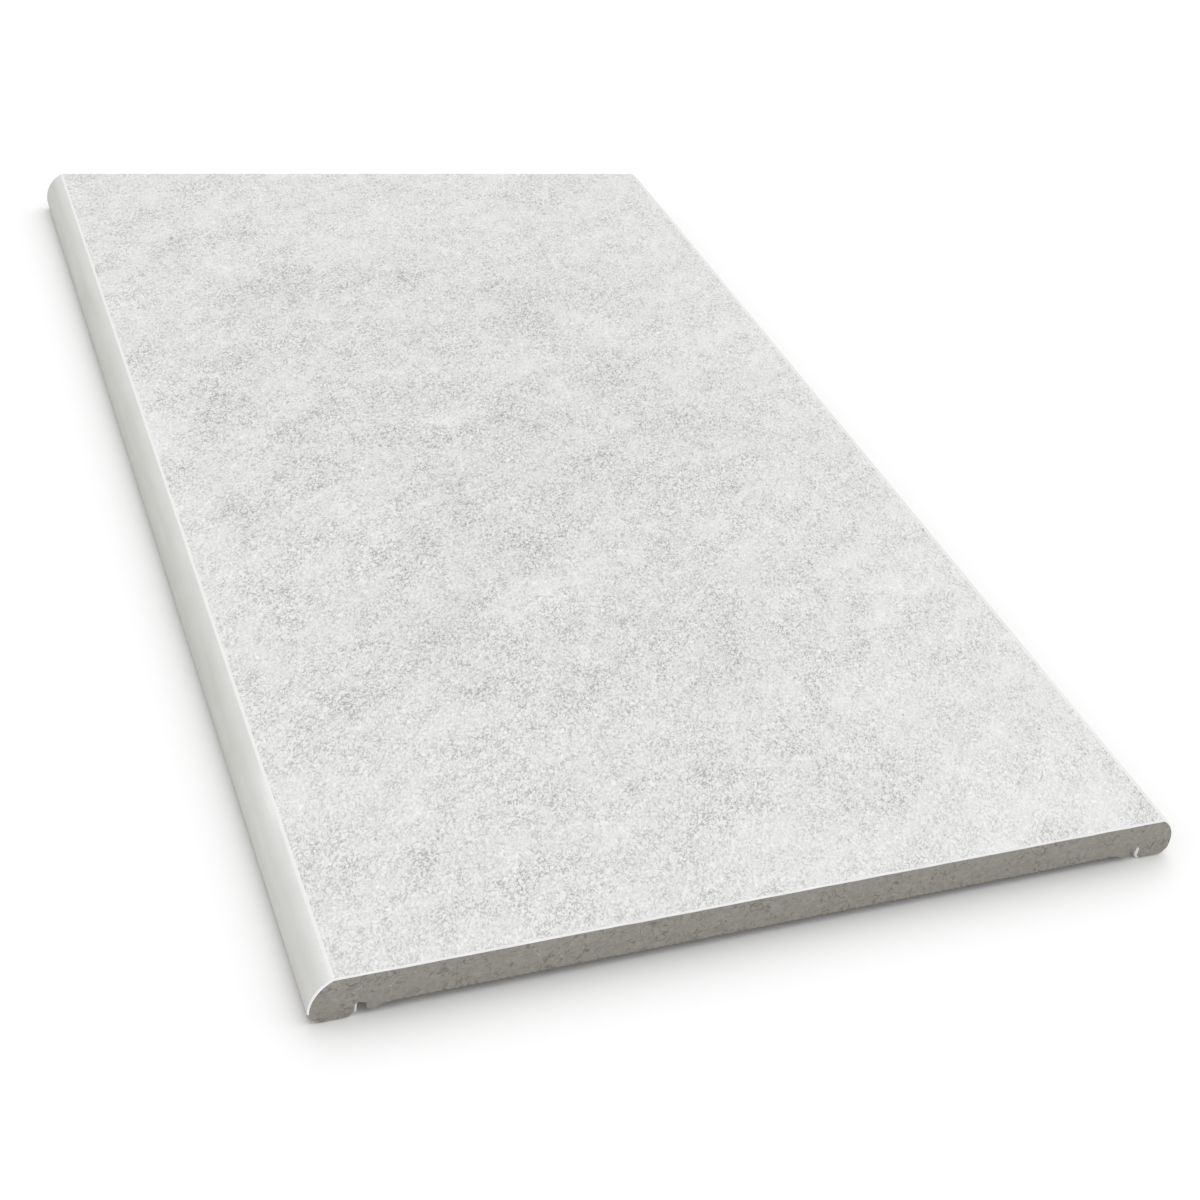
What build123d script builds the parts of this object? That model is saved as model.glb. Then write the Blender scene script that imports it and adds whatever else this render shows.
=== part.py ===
# Porcelain coping stone: one fired slab that caps a wall.
# Both long edges are rounded noses, each with a drip groove underneath,
# and the back between the grooves is recessed and fluted to key into mortar.
# Millimetres. X runs across the wall, Y along it, Z up.
# The origin is below the middle of the slab, on the plane of the two lips it rests on.

import os
from math import asin, degrees, floor

from build123d import *

# Overall size
LENGTH = 600.0
WIDTH = 350.0
THICKNESS = 20.0

# Rounded long edges: each nose bulges out from a crease on the top down to its foot
NOSE_REACH = 8.0
NOSE_FOOT = 6.0
CREASE_RADIUS = 2.0
TOE_RADIUS = 5.0

# Drip groove, and the lip outside it that throws the water off
LIP_WIDTH = 16.4
LIP_BEVEL = 2.0
GROOVE_WIDTH = 3.2
GROOVE_DEPTH = 6.0
GROOVE_CORNER_RADIUS = 0.6

# Land beside each groove, and the slope from it up to the recessed back
LAND_WIDTH = 2.5
LAND_RISE = 2.4
LAND_RADIUS = 0.8
SLOPE_WIDTH = 4.5
SLOPE_RADIUS = 3.0

# Recessed back, with shallow round-bottomed flutes that leave narrow ribs between them
BACK_RISE = 4.1
FLUTE_PITCH = 2.8
FLUTE_DEPTH = 0.5
RIB_WIDTH = 0.6

# Eased arris round each sawn end, over the top and noses and down to the lips
END_ARRIS = 0.6

# The nose is an arc that leaves the flat top at a soft crease and ends upright at its foot.
half_width = WIDTH / 2
nose_rise = THICKNESS - NOSE_FOOT
nose_radius = (NOSE_REACH**2 + nose_rise**2) / (2 * NOSE_REACH)
nose_sweep = degrees(asin(nose_rise / nose_radius))
nose_centre = (half_width - nose_radius, NOSE_FOOT)

# Stations across one half of the underside, from the lip in to the back
groove_outer = half_width - LIP_WIDTH
groove_inner = groove_outer - GROOVE_WIDTH
land_inner = groove_inner - LAND_WIDTH
back_edge = land_inner - SLOPE_WIDTH

# Each flute is the top of a circle, as wide as the pitch leaves between two ribs.
flute_width = FLUTE_PITCH - RIB_WIDTH
flute_radius = (flute_width**2 / 4 + FLUTE_DEPTH**2) / (2 * FLUTE_DEPTH)
flute_centre_height = BACK_RISE + FLUTE_DEPTH - flute_radius
flute_count = floor((2 * back_edge - flute_width) / FLUTE_PITCH)

with BuildPart() as coping_stone:
    with BuildSketch(Plane.XZ) as section:
        with BuildLine() as half_outline:
            nose = CenterArc(nose_centre, nose_radius, 0, nose_sweep)
            underside = FilletPolyline(
                nose @ 0,
                (half_width, 0),
                (groove_outer + LIP_BEVEL, 0),
                (groove_outer, LIP_BEVEL),
                (groove_outer, GROOVE_DEPTH),
                (groove_inner, GROOVE_DEPTH),
                (groove_inner, LAND_RISE),
                (land_inner, LAND_RISE),
                (back_edge, BACK_RISE),
                (0, BACK_RISE),
                radius=[
                    TOE_RADIUS,
                    0,
                    0,
                    GROOVE_CORNER_RADIUS,
                    GROOVE_CORNER_RADIUS,
                    LAND_RADIUS,
                    SLOPE_RADIUS,
                    SLOPE_RADIUS,
                ],
            )
            Polyline(nose @ 1, (0, THICKNESS), (0, BACK_RISE))
        make_face()
        mirror(about=Plane.YZ)
        fillet(section.vertices().group_by(Axis.Y)[-1], CREASE_RADIUS)
        with Locations((0, flute_centre_height)):
            with GridLocations(FLUTE_PITCH, 0, flute_count, 1):
                Circle(flute_radius, mode=Mode.SUBTRACT)
    extrude(amount=LENGTH / 2, both=True)
    # The arris follows the smooth outline on from the top edge and stops at the lip bevels.
    end_faces = coping_stone.faces().filter_by(Axis.Y)
    chamfer(end_faces.edges().group_by(Axis.Z)[-1], END_ARRIS)

coping_stone.part.label = "coping_stone"

os.makedirs("parts", exist_ok=True)
export_step(coping_stone.part, "parts/coping_stone.step")
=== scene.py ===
import math

import bpy
import numpy as np
from mathutils import Matrix, Vector, noise
from mathutils.geometry import delaunay_2d_cdt


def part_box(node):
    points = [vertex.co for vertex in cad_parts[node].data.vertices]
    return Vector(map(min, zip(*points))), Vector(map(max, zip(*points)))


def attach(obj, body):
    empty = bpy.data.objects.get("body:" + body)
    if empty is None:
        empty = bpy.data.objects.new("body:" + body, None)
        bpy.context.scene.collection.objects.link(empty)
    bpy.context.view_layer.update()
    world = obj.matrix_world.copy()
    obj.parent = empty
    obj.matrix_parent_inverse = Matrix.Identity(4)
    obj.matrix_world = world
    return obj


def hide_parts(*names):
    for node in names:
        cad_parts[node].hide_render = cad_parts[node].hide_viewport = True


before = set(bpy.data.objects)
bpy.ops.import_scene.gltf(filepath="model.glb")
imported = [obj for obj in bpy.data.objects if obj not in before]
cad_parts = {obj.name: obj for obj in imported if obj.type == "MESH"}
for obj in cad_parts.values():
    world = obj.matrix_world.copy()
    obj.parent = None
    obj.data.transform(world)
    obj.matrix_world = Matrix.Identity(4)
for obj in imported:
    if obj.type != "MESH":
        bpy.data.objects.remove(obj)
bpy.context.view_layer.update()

# Overall size, from the part in model.glb, in metres
MM = 0.001
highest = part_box("coping_stone")[1]
half_width = highest.x
half_length = highest.y
thickness = highest.z

# Section of the slab, the same values as its solid has
NOSE_REACH = 8 * MM
NOSE_FOOT = 6 * MM
CREASE_RADIUS = 2 * MM
TOE_RADIUS = 5 * MM
LIP_WIDTH = 16.4 * MM
LIP_BEVEL = 2 * MM
GROOVE_WIDTH = 3.2 * MM
GROOVE_DEPTH = 6 * MM
GROOVE_CORNER_RADIUS = 0.6 * MM
LAND_WIDTH = 2.5 * MM
LAND_RISE = 2.4 * MM
LAND_RADIUS = 0.8 * MM
SLOPE_WIDTH = 4.5 * MM
SLOPE_RADIUS = 3 * MM
BACK_RISE = 4.1 * MM
FLUTE_PITCH = 2.8 * MM
FLUTE_DEPTH = 0.5 * MM
RIB_WIDTH = 0.6 * MM
END_ARRIS = 0.6 * MM

# Eased edge of each groove's outer wall at the sawn ends
GROOVE_ARRIS = 0.9 * MM

# How finely the mesh follows the section
TOP_CELL = 2.5 * MM
END_CELL = 1.6 * MM
COARSE_STEP = 5
CREASE_STEPS = 4
NOSE_STEPS = 14
TOE_STEPS = 6
CORNER_STEPS = 3
FLUTE_STEPS = 4

# Edges of the mesh that turn by more than this many degrees are drawn sharp
SHARP_ANGLE = 28

# Heights and points of the mesh that are nearer than these count as the same
SAME_HEIGHT = 1e-9
SAME_POINT = 1e-7

# Relief of the fired surfaces: depth and size of the dimples, their layers as smoothness, step in size
# and number, and the margin of the top over which they fade out
TOP_RELIEF = 0.22 * MM
TOP_RELIEF_SIZE = 9 * MM
TOP_RELIEF_LAYERS = (0.8, 2.0, 3)
TOP_RELIEF_MARGIN = 6 * MM
END_RELIEF = 0.3 * MM
END_RELIEF_SIZE = 5 * MM
END_RELIEF_LAYERS = (0.7, 2.0, 3)

# How unevenly the edges at the sawn ends are dressed, as a share of their width
ARRIS_WANDER = 0.35
GROOVE_WANDER = 0.1
ARRIS_WANDER_SIZE = 9 * MM

# Larger stains of the print, laid from the clouds in view:
# place across and along, length and width in mm, turn in degrees, and strength (negative is paler)
STAINS = [
    (-10, 0, 480, 250, 90, 0.35),
    (-126, 208, 44, 16, 45, 0.8),
    (-55, 258, 60, 14, 20, 0.4),
    (-90, 158, 76, 34, 50, 0.7),
    (-16, 178, 66, 16, 0, 0.4),
    (-125, 57, 30, 18, 30, 0.6),
    (-113, 100, 34, 20, 40, 0.5),
    (48, 150, 116, 40, 85, 0.4),
    (88, 152, 50, 18, -50, 0.4),
    (-40, 55, 76, 30, 10, 0.5),
    (74, 66, 44, 16, 15, 0.4),
    (-99, 34, 56, 18, 50, 0.9),
    (-110, -3, 34, 18, 70, 0.8),
    (-143, -36, 24, 32, 0, 0.9),
    (0, 24, 56, 14, 5, 0.35),
    (-48, -22, 20, 36, 0, 0.7),
    (86, 9, 50, 40, 20, 0.6),
    (115, 20, 140, 80, 80, 0.25),
    (-20, -79, 100, 18, 38, 0.4),
    (-82, -131, 66, 24, 30, 0.45),
    (-77, -162, 24, 26, 0, 0.5),
    (-36, -176, 60, 16, 32, 0.6),
    (-136, -168, 50, 24, 5, 0.3),
    (-11, -227, 26, 20, 0, 0.5),
    (34, -160, 60, 16, 50, 0.2),
    (85, -126, 50, 14, -30, 0.4),
    (-4, -96, 110, 18, 38, -0.5),
    (-98, 200, 50, 30, 40, -0.5),
    (-36, 28, 34, 12, 10, -0.7),
    (-42, -115, 44, 18, 35, -0.4),
    (112, -35, 40, 26, 0, -0.4),
    (89, 103, 60, 40, 0, -0.4),
    (-160, 26, 60, 18, 90, -0.5),
    (-162, -28, 40, 16, 90, -0.6),
    (-154, -72, 30, 20, 90, -0.3),
    (-158, 150, 60, 16, 90, -0.4),
    (84, -205, 60, 40, 0, -0.4),
    (134, -132, 30, 30, 0, -0.4),
    (125, -262, 120, 60, 0, -0.7),
    (50, -290, 220, 40, 0, -0.5),
    (5, -268, 44, 24, 0, -0.5),
    (142, -287, 50, 24, 0, -0.4),
    (160, -180, 80, 30, 90, -0.4),
    (150, 285, 60, 40, 0, -0.3),
]

# Ragged edges of the stains: size and reach of their wander, and from and to which share of one it fades
STAIN_WANDER_SIZE = 20 * MM
STAIN_WANDER = 34 * MM
STAIN_FADE = (0.2, 1.3)

# Share of a speck that is solid, inside its soft edge
SPECK_CORE = 0.4

# The ways the print is drawn out over the top, in degrees from across the slab, and how far
PRINT_DRAW = (57, 1.5)
CLOUD_DRAW = (40, 2.0)
STROKE_DRAW = (75, 1.5)

# Glaze of the noses: the way its streaks are drawn out, the height parting painted shade below from painted
# light above, the places along the slab between which painted light makes it paler, and the depths below
# the top of the painted crease highlight
STREAK_DRAW = (90, 8.0)
SHADE_TO_LIGHT_HEIGHT = 14 * MM
NEAR_END_LIGHT_STRETCH = (-120 * MM, -260 * MM)
CREASE_HIGHLIGHT_FROM = 0.45 * MM
CREASE_HIGHLIGHT_TO = 0.2 * MM

# Middle tones of the materials, each on its own ramp of colours
PRINT_TONE = 0.677
GLAZE_TONE = 0.42
CLAY_TONE = 0.49

# Light of the white surroundings, and the lamps as name, strength, breadth in degrees and way they shine
SURROUNDINGS = 0.545
LAMPS = [
    ("soft_key", 1.785, 90, (-0.45, -0.25, -1)),
    ("soft_fill", 0.85, 60, (0.9, -0.15, -0.4)),
]

# Materials of the slab's mesh, by slot
# The near-white slot is worn edges, and also a painted highlight on the lip bevels and the grooves' outer
# walls
PRINT, WORN_HIGHLIGHT, NOSE, BODY = range(4)


def arc(centre, radius, start, end, steps):
    """Points of an arc in the section plane, from one angle in degrees to another."""
    angles = np.radians(np.linspace(start, end, steps + 1))
    return [(centre[0] + radius * math.cos(a), centre[1] + radius * math.sin(a)) for a in angles]


def rounded(corners, radii):
    """A run of straight lines with each inner corner rounded by its own radius."""
    line = [tuple(corners[0])]
    for before, at, after, radius in zip(corners, corners[1:], corners[2:], radii):
        corner = Vector(at)
        if radius == 0:
            line.append(tuple(corner))
            continue
        back = (Vector(before) - corner).normalized()
        onward = (Vector(after) - corner).normalized()
        half_angle = back.angle(onward) / 2
        setback = radius / math.tan(half_angle)
        centre = corner + (back + onward).normalized() * radius / math.sin(half_angle)
        first = corner + back * setback - centre
        last = corner + onward * setback - centre
        for share in np.linspace(0, 1, CORNER_STEPS + 1):
            line.append(tuple(centre + first.lerp(last, share).normalized() * radius))
    line.append(tuple(corners[-1]))
    return line


def mirrored(line):
    """The same run on the other half of the section, walked the other way."""
    return [(-x, z) for x, z in reversed(line)]


def upper_outline():
    """The section from the left toe over the top to the right toe, with the material of each stretch."""
    nose_rise = thickness - NOSE_FOOT
    nose_radius = (NOSE_REACH**2 + nose_rise**2) / (2 * NOSE_REACH)
    nose_centre = Vector((half_width - nose_radius, NOSE_FOOT))
    crease_height = nose_rise - CREASE_RADIUS
    crease_out = math.sqrt((nose_radius - CREASE_RADIUS) ** 2 - crease_height**2)
    crease_centre = nose_centre + Vector((crease_out, crease_height))
    crease_end = math.degrees(math.atan2(crease_height, crease_out))
    crease = arc(crease_centre, CREASE_RADIUS, 90, crease_end, CREASE_STEPS)
    nose = arc(nose_centre, nose_radius, crease_end, 0, NOSE_STEPS)
    toe = arc((half_width - TOE_RADIUS, TOE_RADIUS), TOE_RADIUS, 0, -90, TOE_STEPS)
    right = crease + nose[1:] + toe
    top_columns = round(2 * crease_centre.x / TOP_CELL)
    top_places = np.linspace(-crease_centre.x, crease_centre.x, top_columns + 1)[1:-1]
    top = [(float(x), thickness) for x in top_places]
    side = [NOSE] * (CREASE_STEPS + NOSE_STEPS + 1) + [BODY] * TOE_STEPS
    return mirrored(right) + top + right, side[::-1] + [PRINT] * top_columns + side


def under_outline():
    """The section from the right lip bevel through the grooves and the fluted back to the left bevel."""
    groove_outer = half_width - LIP_WIDTH
    groove_inner = groove_outer - GROOVE_WIDTH
    land_inner = groove_inner - LAND_WIDTH
    back_edge = land_inner - SLOPE_WIDTH
    corners = [
        (groove_outer + LIP_BEVEL, 0),
        (groove_outer, LIP_BEVEL),
        (groove_outer, GROOVE_DEPTH),
        (groove_inner, GROOVE_DEPTH),
        (groove_inner, LAND_RISE),
        (land_inner, LAND_RISE),
        (back_edge, BACK_RISE),
    ]
    right = rounded(corners, [0, GROOVE_CORNER_RADIUS, GROOVE_CORNER_RADIUS, LAND_RADIUS, SLOPE_RADIUS])
    flute_width = FLUTE_PITCH - RIB_WIDTH
    flute_radius = (flute_width**2 / 4 + FLUTE_DEPTH**2) / (2 * FLUTE_DEPTH)
    flute_height = BACK_RISE + FLUTE_DEPTH - flute_radius
    flute_half_angle = math.degrees(math.asin(flute_width / 2 / flute_radius))
    flute_count = math.floor((2 * back_edge - flute_width) / FLUTE_PITCH)
    back = []
    for number in reversed(range(flute_count)):
        across = (number - (flute_count - 1) / 2) * FLUTE_PITCH
        sweep = (90 - flute_half_angle, 90 + flute_half_angle)
        back += arc((across, flute_height), flute_radius, *sweep, FLUTE_STEPS)
    line = right + back + mirrored(right)
    # The lip bevel and the groove's outer wall take the near white along the whole length: a painted
    # highlight
    lip_side = [WORN_HIGHLIGHT] * (2 + CORNER_STEPS)
    body = [BODY] * (len(line) - 1 - 2 * len(lip_side))
    return line, lip_side + body + lip_side


def inset(line, widths, unevenness, row):
    """The outline drawn in by the arris width of each point, unevenly, as a hand-dressed edge is."""
    points = [Vector(p) for p in line]
    moved = []
    for number, (point, width) in enumerate(zip(points, widths)):
        before = points[max(number - 1, 0)]
        after = points[min(number + 1, len(points) - 1)]
        along = (after - before).normalized()
        inward = Vector((along.y, -along.x))
        wander = noise.noise(Vector((point.x, row, point.y)) / ARRIS_WANDER_SIZE)
        moved.append(tuple(point + inward * width * (1 + unevenness * wander)))
    return moved


def dimple(place, layers):
    """A soft random depth from 0 to 1."""
    return min(max(0.5 + 0.5 * noise.fractal(place, *layers), 0), 1)


def hollow(x, y):
    """How far the top has sunk at a place: soft dimples that fade out towards the edges."""
    edge_gap = min(half_width - NOSE_REACH - abs(x), half_length - abs(y))
    fade = min(max(edge_gap / TOP_RELIEF_MARGIN, 0), 1)
    return TOP_RELIEF * fade * dimple(Vector((x, y, 0)) / TOP_RELIEF_SIZE, TOP_RELIEF_LAYERS)


class SlabMesh:
    """Vertices, faces and the material of each face, gathered piece by piece."""

    def __init__(self):
        self.vertices = []
        self.faces = []
        self.materials = []

    def add_row(self, points):
        """One line of vertices across the slab, given back as their numbers."""
        first = len(self.vertices)
        self.vertices += points
        return list(range(first, len(self.vertices)))

    def add_face(self, corners, material):
        self.faces.append(corners)
        self.materials.append(material)

    def add_skin(self, rows, materials):
        """Faces between neighbouring rows, with one material for each column."""
        for near, far in zip(rows, rows[1:]):
            for column, material in enumerate(materials):
                beside = column + 1
                self.add_face((near[column], near[beside], far[beside], far[column]), material)

    def add_lips(self, upper_rows, under_rows, picked):
        """Flat undersides of the lips, between the finely and the coarsely divided skin."""
        for number, (start, end) in enumerate(zip(picked, picked[1:])):
            near = under_rows[number]
            far = under_rows[number + 1]
            fine = upper_rows[start : end + 1]
            right_edge = [row[-1] for row in reversed(fine)]
            left_edge = [row[0] for row in fine]
            self.add_face((near[0], far[0], *right_edge), BODY)
            self.add_face((*left_edge, far[-1], near[-1]), BODY)

    def add_end(self, ring, y, facing):
        """A sawn end: a triangle net inside the ring, with shallow hollows in the bare body."""
        outline = [Vector((self.vertices[v][0], self.vertices[v][2])) for v in ring]
        columns = np.arange(-half_width, half_width, END_CELL)
        levels = np.arange(END_CELL, thickness, END_CELL)
        loose = [Vector((x, z)) for x in columns for z in levels]
        inside_only = 1
        net = delaunay_2d_cdt(outline + loose, [], [list(range(len(ring)))], inside_only, SAME_POINT)
        points, _, triangles, origins, _, _ = net
        numbers = []
        for point, origin in zip(points, origins):
            if origin and min(origin) < len(ring):
                numbers.append(ring[min(origin)])
                continue
            dent = END_RELIEF * dimple(Vector((point.x, y, point.y)) / END_RELIEF_SIZE, END_RELIEF_LAYERS)
            numbers.append(len(self.vertices))
            self.vertices.append((point.x, y - facing * dent, point.y))
        for triangle in triangles:
            corners = [numbers[v] for v in triangle]
            self.add_face(corners if facing < 0 else corners[::-1], BODY)


def build_slab():
    """One closed mesh of the whole coping stone."""
    upper, upper_materials = upper_outline()
    under, under_materials = under_outline()
    inner_end = half_length - END_ARRIS
    row_count = round(2 * inner_end / TOP_CELL / COARSE_STEP) * COARSE_STEP
    inner_rows = [float(y) for y in np.linspace(-inner_end, inner_end, row_count + 1)]
    places = [-half_length] + inner_rows + [half_length]
    last = len(places) - 1
    picked = [0, *range(1, last, COARSE_STEP), last]

    mesh = SlabMesh()
    upper_arris = [END_ARRIS] * len(upper)
    under_sides = zip([WORN_HIGHLIGHT] + under_materials, under_materials + [WORN_HIGHLIGHT])
    under_arris = [GROOVE_ARRIS if WORN_HIGHLIGHT in sides else 0 for sides in under_sides]
    upper_rows = []
    under_rows = []
    for number, y in enumerate(places):
        line = inset(upper, upper_arris, ARRIS_WANDER, y) if number in (0, last) else upper
        sunk = [hollow(x, y) if abs(z - thickness) < SAME_HEIGHT else 0 for x, z in line]
        upper_rows.append(mesh.add_row([(x, y, z - drop) for (x, z), drop in zip(line, sunk)]))
    for number in picked:
        line = inset(under, under_arris, GROOVE_WANDER, places[number]) if number in (0, last) else under
        under_rows.append(mesh.add_row([(x, places[number], z) for x, z in line]))

    # The rings at the sawn ends take the near white: the worn dressed arris, with a painted highlight along
    # it
    upper_ring = [BODY if material == BODY else WORN_HIGHLIGHT for material in upper_materials]
    mesh.add_skin(upper_rows[:2], upper_ring)
    mesh.add_skin(upper_rows[1:-1], upper_materials)
    mesh.add_skin(upper_rows[-2:], upper_ring)
    mesh.add_skin(under_rows, under_materials)
    mesh.add_lips(upper_rows, under_rows, picked)
    mesh.add_end(upper_rows[0] + under_rows[0], -half_length, -1)
    mesh.add_end(upper_rows[-1] + under_rows[-1], half_length, 1)

    data = bpy.data.meshes.new("coping_slab")
    data.from_pydata(mesh.vertices, [], mesh.faces)
    data.polygons.foreach_set("material_index", mesh.materials)
    data.polygons.foreach_set("use_smooth", [True] * len(mesh.faces))
    data.set_sharp_from_angle(angle=math.radians(SHARP_ANGLE))
    data.update()
    slab = bpy.data.objects.new("coping_slab", data)
    bpy.context.scene.collection.objects.link(slab)
    return slab


# Small helpers for the node materials


def new_material(name):
    """A new node material and its tree."""
    material = bpy.data.materials.new(name)
    material.use_nodes = True
    return material, material.node_tree


def feed(tree, socket, value):
    """Links another node's output to a socket, or sets the socket's own value."""
    if isinstance(value, bpy.types.NodeSocket):
        tree.links.new(value, socket)
    else:
        socket.default_value = value


def new_node(tree, kind, inputs, **settings):
    """A node with its settings and its input values or links."""
    node = tree.nodes.new(kind)
    for name, value in settings.items():
        setattr(node, name, value)
    for name, value in inputs.items():
        feed(tree, node.inputs[name], value)
    return node


def add_node(tree, kind, inputs, output=0, **settings):
    """The output asked for of a new node."""
    return new_node(tree, kind, inputs, **settings).outputs[output]


def object_place(tree):
    """The place on the slab, in metres from its origin."""
    return add_node(tree, "ShaderNodeTexCoord", {}, "Object")


def drawn_out(tree, place, draw):
    """The place turned in plan and drawn out that way, so that a field laid on it runs along the angle."""
    angle, stretch = draw
    inputs = {"Vector": place, "Rotation": (0, 0, math.radians(angle)), "Scale": (stretch, 1, 1)}
    return add_node(tree, "ShaderNodeMapping", inputs, vector_type="TEXTURE")


def cloud(tree, place, size, detail=2.0, rough=0.5, warp=0.0):
    """A soft random field from 0 to 1 with patches about that size."""
    inputs = {"Vector": place, "Scale": 1 / size, "Detail": detail, "Roughness": rough, "Distortion": warp}
    return add_node(tree, "ShaderNodeTexNoise", inputs, "Fac")


def span(tree, value, start, end, low=0.0, high=1.0):
    """The value's stretch from start to end, mapped smoothly to low and high."""
    inputs = {0: value, 1: start, 2: end, 3: low, 4: high}
    return add_node(tree, "ShaderNodeMapRange", inputs, interpolation_type="SMOOTHSTEP")


def maths(tree, operation, first, second=0.0, third=0.0):
    """One step of arithmetic."""
    return add_node(tree, "ShaderNodeMath", {0: first, 1: second, 2: third}, operation=operation)


def overlaid(tree, field, marks, weight):
    """A field with marks laid over it, which raise it by the weight, or lower it if that is negative."""
    return maths(tree, "MULTIPLY_ADD", marks, weight, field)


def layered(tree, start, layers):
    """Fields from 0 to 1 added up, each about its middle and with its own weight."""
    total = start
    for field, weight in layers:
        centred = maths(tree, "SUBTRACT", field, 0.5)
        total = overlaid(tree, total, centred, weight)
    return total


def ramp(tree, value, stops):
    """Colours along a value, from stops that each have a position and a colour."""
    node = new_node(tree, "ShaderNodeValToRGB", {"Fac": value})
    elements = node.color_ramp.elements
    while len(elements) < len(stops):
        elements.new(0.5)
    for element, (position, colour) in zip(elements, stops):
        element.position = position
        element.color = (*colour, 1)
    return node.outputs["Color"]


def bump(tree, height, depth, strength):
    """Fine relief too small for the mesh."""
    return add_node(tree, "ShaderNodeBump", {"Height": height, "Distance": depth, "Strength": strength})


def dress(tree, **inputs):
    """Sets or links the sockets of the material's own shader."""
    shader = tree.nodes["Principled BSDF"]
    for name, value in inputs.items():
        feed(tree, shader.inputs[name.replace("_", " ")], value)


def tinted(level, red=1.0, blue=1.0):
    """A grey with a little more or less red and blue than green."""
    return (level * red, level, level * blue)


def ridges(tree, place, size, width, warp=0.8, detail=1.0):
    """Thin wandering lines, 1 on the line and 0 beside it."""
    field = cloud(tree, place, size, detail=detail, warp=warp)
    gap = maths(tree, "ABSOLUTE", maths(tree, "SUBTRACT", field, 0.5))
    return span(tree, gap, 0.0, width, low=1.0, high=0.0)


def wavering(tree, place, size, reach):
    """The place shifted to and fro, so that what is laid on it gets a ragged edge."""
    inputs = {"Vector": place, "Scale": 1 / size, "Detail": 3.0}
    shift = add_node(tree, "ShaderNodeTexNoise", inputs, "Color")
    centred = add_node(tree, "ShaderNodeVectorMath", {0: shift, 1: (0.5, 0.5, 0.5)}, operation="SUBTRACT")
    scaled = add_node(tree, "ShaderNodeVectorMath", {0: centred, "Scale": reach}, operation="SCALE")
    return add_node(tree, "ShaderNodeVectorMath", {0: place, 1: scaled}, operation="ADD")


def stain_field(tree, place):
    """The larger stains of the print added up, positive where it is darker."""
    ragged = wavering(tree, place, STAIN_WANDER_SIZE, STAIN_WANDER)
    total = 0.0
    for x, y, length, width, angle, weight in STAINS:
        inputs = {
            "Vector": ragged,
            "Location": (x * MM, y * MM, thickness),
            "Rotation": (0, 0, math.radians(angle)),
            "Scale": (length * MM / 2, width * MM / 2, 1),
        }
        local = add_node(tree, "ShaderNodeMapping", inputs, vector_type="TEXTURE")
        distance = add_node(tree, "ShaderNodeVectorMath", {0: local}, "Value", operation="LENGTH")
        patch = span(tree, distance, *STAIN_FADE, low=1.0, high=0.0)
        total = overlaid(tree, total, patch, weight)
    return total


def specks(tree, place, spacing, size, share):
    """Sparse round dots: only that share of the cells has one."""
    cells = new_node(tree, "ShaderNodeTexVoronoi", {"Vector": place, "Scale": 1 / spacing})
    reach = size / spacing
    dot = span(tree, cells.outputs["Distance"], reach * SPECK_CORE, reach, low=1.0, high=0.0)
    picked = maths(tree, "LESS_THAN", cells.outputs["Color"], share)
    return maths(tree, "MULTIPLY", dot, picked)


def printed_stone():
    """Matt stone-effect face: clouds and stains, pale veins and strokes, dark curls, grain and specks."""
    material, tree = new_material("printed_stone")
    place = object_place(tree)
    cloud_place = drawn_out(tree, place, CLOUD_DRAW)
    print_place = drawn_out(tree, place, PRINT_DRAW)
    stroke_place = drawn_out(tree, place, STROKE_DRAW)
    clouds = cloud(tree, cloud_place, 60 * MM, detail=5.0, rough=0.6, warp=0.5)
    veins = ridges(tree, cloud_place, 20 * MM, 0.03)
    stains = stain_field(tree, place)
    blotches = cloud(tree, print_place, 9 * MM, detail=3.0, rough=0.6, warp=0.6)
    curls = ridges(tree, print_place, 1.5 * MM, 0.13, warp=0.9, detail=0.0)
    strokes = ridges(tree, stroke_place, 1.9 * MM, 0.08, warp=0.9, detail=0.0)
    grain = cloud(tree, print_place, 1.1 * MM, detail=0.0)
    density = cloud(tree, cloud_place, 22 * MM)
    inks = [(clouds, 0.24), (blotches, 0.1), (grain, 0.36), (veins, 0.07), (strokes, 0.2)]
    base = layered(tree, PRINT_TONE, inks)
    stained = overlaid(tree, base, stains, -0.11)
    curl_ink = span(tree, blotches, 0.42, 0.66, low=-0.37, high=-0.155)
    curl_start = layered(tree, curl_ink, [(density, -0.6)])
    curl_depth = overlaid(tree, curl_start, stains, -0.09)
    tone = overlaid(tree, stained, curls, curl_depth)
    dots = specks(tree, place, 7 * MM, 0.8 * MM, 0.25)
    spotted = overlaid(tree, tone, dots, -0.3)
    stops = [
        (0.0, tinted(0.33, 1.05, 0.99)),
        (0.3, tinted(0.54, 1.014, 0.989)),
        (0.5, tinted(0.67, 0.996, 0.988)),
        (0.8, tinted(0.79, 0.985, 0.986)),
        (1.0, tinted(0.86, 0.98, 0.983)),
    ]
    height = layered(tree, 0.5, [(curls, -0.5), (grain, 0.4), (blotches, 0.5)])
    dress(
        tree,
        Base_Color=ramp(tree, spotted, stops),
        Roughness=span(tree, blotches, 0.2, 0.8, low=0.55, high=0.7),
        Specular_IOR_Level=0.3,
        Normal=bump(tree, height, 0.3 * MM, 0.6),
    )
    return material


def worn_highlight_arris():
    """The dressed edges, lip bevels and grooves' outer walls in near white: worn edges where the white
    ground under the print comes through, and a painted highlight where they look lit.
    """
    material, tree = new_material("worn_highlight_arris")
    patches = cloud(tree, object_place(tree), 7 * MM, detail=3.0)
    stops = [(0.3, tinted(0.84, 1.0, 0.985)), (0.7, tinted(0.94))]
    dress(tree, Base_Color=ramp(tree, patches, stops), Roughness=0.5, Specular_IOR_Level=0.3)
    return material


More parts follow.
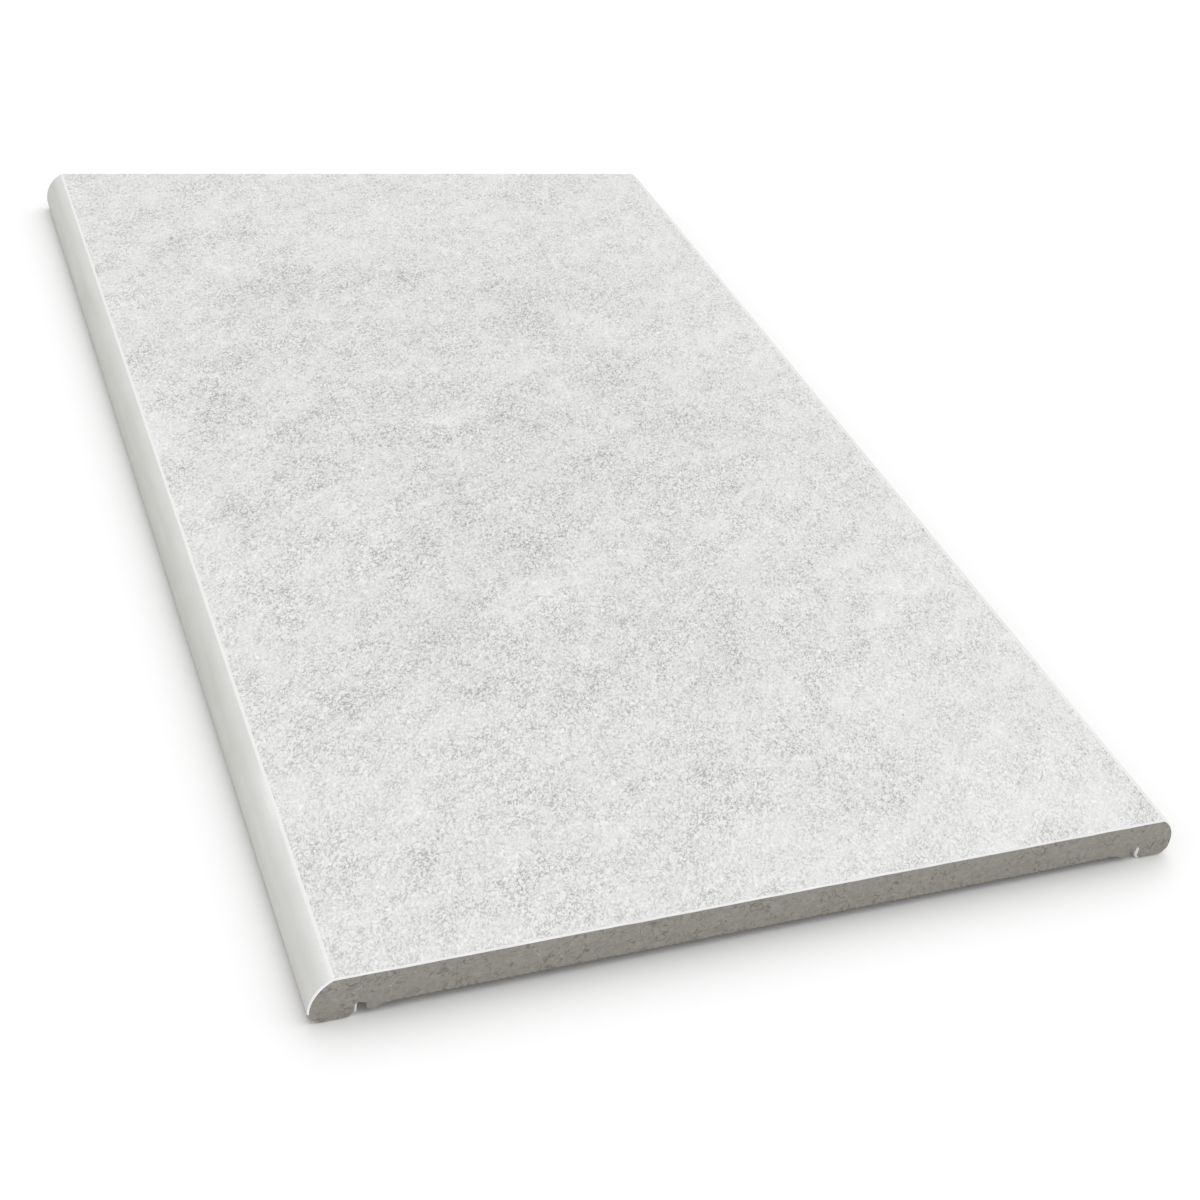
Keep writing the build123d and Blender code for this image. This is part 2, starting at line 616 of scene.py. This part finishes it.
def satin_nose():
    """Satin glaze with streaks, patches, pinholes and specks; painted shade darker at the foot, painted
    light paler near the top and towards the near end, and a painted highlight along the crease.
    """
    material, tree = new_material("satin_nose")
    place = object_place(tree)
    streaks = cloud(tree, drawn_out(tree, place, STREAK_DRAW), 6 * MM, detail=3.0, warp=0.3)
    patches = cloud(tree, place, 30 * MM, detail=3.0, rough=0.6)
    pinholes = cloud(tree, place, 1.2 * MM, detail=1.0)
    parts = new_node(tree, "ShaderNodeSeparateXYZ", {"Vector": place}).outputs
    # Painted light: the glaze paler towards the near end
    near_end_light = span(tree, parts["Y"], *NEAR_END_LIGHT_STRETCH)
    level = parts["Z"]
    # Painted shade and light on the nose: darker towards the foot, paler towards the top
    foot_shade = span(tree, level, NOSE_FOOT, SHADE_TO_LIGHT_HEIGHT)
    top_light = span(tree, level, SHADE_TO_LIGHT_HEIGHT, thickness)
    # Painted highlight: a paler band along the crease, just below the top
    crease_highlight = span(tree, level, thickness - CREASE_HIGHLIGHT_FROM, thickness - CREASE_HIGHLIGHT_TO)
    films_and_painted_shading = [(streaks, 0.35), (patches, 0.35), (pinholes, 0.12), (foot_shade, 0.2), (top_light, 0.45)]
    glaze = layered(tree, GLAZE_TONE, films_and_painted_shading)
    # The glaze with the painted light towards the near end laid over it
    fired = overlaid(tree, glaze, near_end_light, 0.2)
    tone = overlaid(tree, fired, crease_highlight, 0.4)
    dots = specks(tree, place, 12 * MM, 0.7 * MM, 0.3)
    spotted = overlaid(tree, tone, dots, -0.3)
    stops = [
        (0.1, tinted(0.477, 1.0, 0.94)),
        (0.4, tinted(0.563, 1.0, 0.953)),
        (0.7, tinted(0.63, 1.0, 0.975)),
        (0.85, tinted(0.668, 1.0, 0.983)),
        (1.0, tinted(0.765, 1.0, 0.987)),
    ]
    dress(
        tree,
        Base_Color=ramp(tree, spotted, stops),
        Roughness=span(tree, patches, 0.2, 0.8, low=0.4, high=0.52),
        Specular_IOR_Level=0.1,
        Normal=bump(tree, pinholes, 0.1 * MM, 0.25),
    )
    return material


def bare_body():
    """Unglazed fired clay: grey-brown, blotched, with short dark cracks, pale veins, pits and grit."""
    material, tree = new_material("bare_body")
    place = object_place(tree)
    blotches = cloud(tree, place, 9 * MM, detail=3.0, rough=0.55, warp=0.8)
    grain = cloud(tree, place, 1.6 * MM, rough=0.6, warp=0.6)
    crack_lines = ridges(tree, place, 6 * MM, 0.035, warp=1.4)
    cracks = maths(tree, "MULTIPLY", crack_lines, span(tree, blotches, 0.44, 0.52))
    veins = ridges(tree, place, 8 * MM, 0.04, warp=1.0)
    pits = specks(tree, place, 3.5 * MM, 0.6 * MM, 0.35)
    grit = specks(tree, place, 2.7 * MM, 0.5 * MM, 0.3)
    clay = layered(tree, CLAY_TONE, [(blotches, 0.15), (grain, 0.48), (veins, 0.1)])
    cracked = overlaid(tree, clay, cracks, -0.27)
    pitted = overlaid(tree, cracked, pits, -0.2)
    marked = overlaid(tree, pitted, grit, 0.45)
    stops = [
        (0.0, tinted(0.126, 1.07, 0.86)),
        (0.45, tinted(0.32, 1.05, 0.885)),
        (0.6, tinted(0.362, 1.045, 0.9)),
        (1.0, tinted(0.525, 1.03, 0.92)),
    ]
    height = overlaid(tree, grain, cracks, -1.0)
    dress(
        tree,
        Base_Color=ramp(tree, marked, stops),
        Roughness=0.85,
        Normal=bump(tree, height, 0.4 * MM, 0.5),
    )
    return material


def pale_floor():
    """Plain white studio floor, so wide that its edge is never near the slab."""
    material, tree = new_material("pale_floor")
    dress(tree, Base_Color=(0.9, 0.9, 0.9, 1), Roughness=0.9)
    size = 8.0
    corners = [(-size, -size, 0), (size, -size, 0), (size, size, 0), (-size, size, 0)]
    data = bpy.data.meshes.new("floor")
    data.from_pydata(corners, [], [(0, 1, 2, 3)])
    data.materials.append(material)
    floor = bpy.data.objects.new("floor", data)
    bpy.context.scene.collection.objects.link(floor)


def light_studio():
    """White surroundings, a broad key light from behind on the right, and a low weak one from the left."""
    world = bpy.data.worlds.new("studio")
    world.use_nodes = True
    background = world.node_tree.nodes["Background"]
    background.inputs["Color"].default_value = (1, 1, 1, 1)
    background.inputs["Strength"].default_value = SURROUNDINGS
    bpy.context.scene.world = world
    for name, strength, breadth, aim in LAMPS:
        data = bpy.data.lights.new(name, "SUN")
        data.energy = strength
        data.angle = math.radians(breadth)
        light = bpy.data.objects.new(name, data)
        light.rotation_euler = Vector(aim).to_track_quat("-Z", "Y").to_euler()
        bpy.context.scene.collection.objects.link(light)


def add_camera():
    """The photograph's view: above the near left corner, rolled so that the far edge lies level."""
    place = Vector((-0.28232, -0.6907, 0.47355))
    right = Vector((0.89359, -0.40806, 0.18704))
    view = Vector((0.43242, 0.67071, -0.60263))
    up = right.cross(view)
    data = bpy.data.cameras.new("camera")
    data.sensor_width = 36
    data.lens = 54.616
    data.shift_x = -0.1441
    data.shift_y = 0.0678
    camera = bpy.data.objects.new("camera", data)
    axes = Matrix((right, up, -view)).transposed()
    camera.matrix_world = Matrix.Translation(place) @ axes.to_4x4()
    bpy.context.scene.collection.objects.link(camera)
    bpy.context.scene.camera = camera


slab = build_slab()
for make_material in (printed_stone, worn_highlight_arris, satin_nose, bare_body):
    slab.data.materials.append(make_material())
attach(slab, "root")
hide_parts("coping_stone")

pale_floor()
light_studio()
add_camera()
bpy.context.scene.view_settings.view_transform = "Standard"
